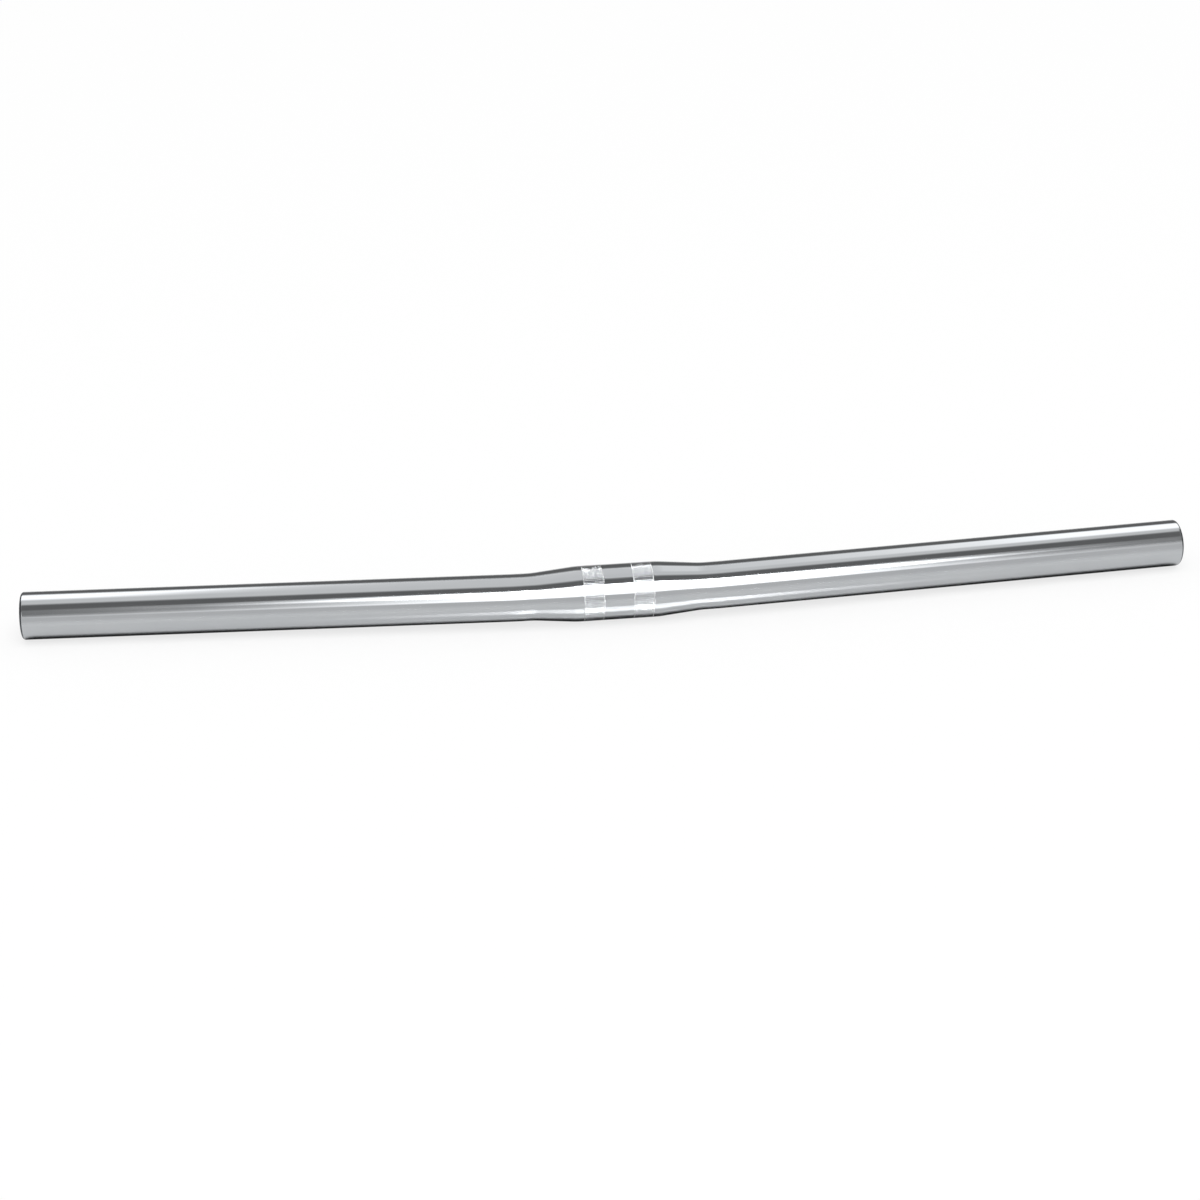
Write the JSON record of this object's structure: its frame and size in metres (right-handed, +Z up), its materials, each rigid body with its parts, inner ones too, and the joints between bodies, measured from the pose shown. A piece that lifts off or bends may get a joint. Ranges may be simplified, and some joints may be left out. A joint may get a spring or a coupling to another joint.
{
  "type": "flat handlebar",
  "caption": "Flat handlebar: polished hollow tube with a swelled, knurled middle for the stem clamp and slightly back-swept straight arms that take grips and levers.",
  "frame": {"origin": "on the clamp axis, at the middle of the bar", "axes": "+X along the clamp axis to the right end, +Y to the rider, the way the arms sweep, +Z up; the bar lies on its swelled middle and both ends"},
  "size_m": [0.5514, 0.0399, 0.026],
  "materials": {
    "polished_aluminium": "polished, with knurled bands on the clamp zone"
  },
  "bodies": {
    "root": {"handlebar": "polished_aluminium"}
  },
  "joints": []
}
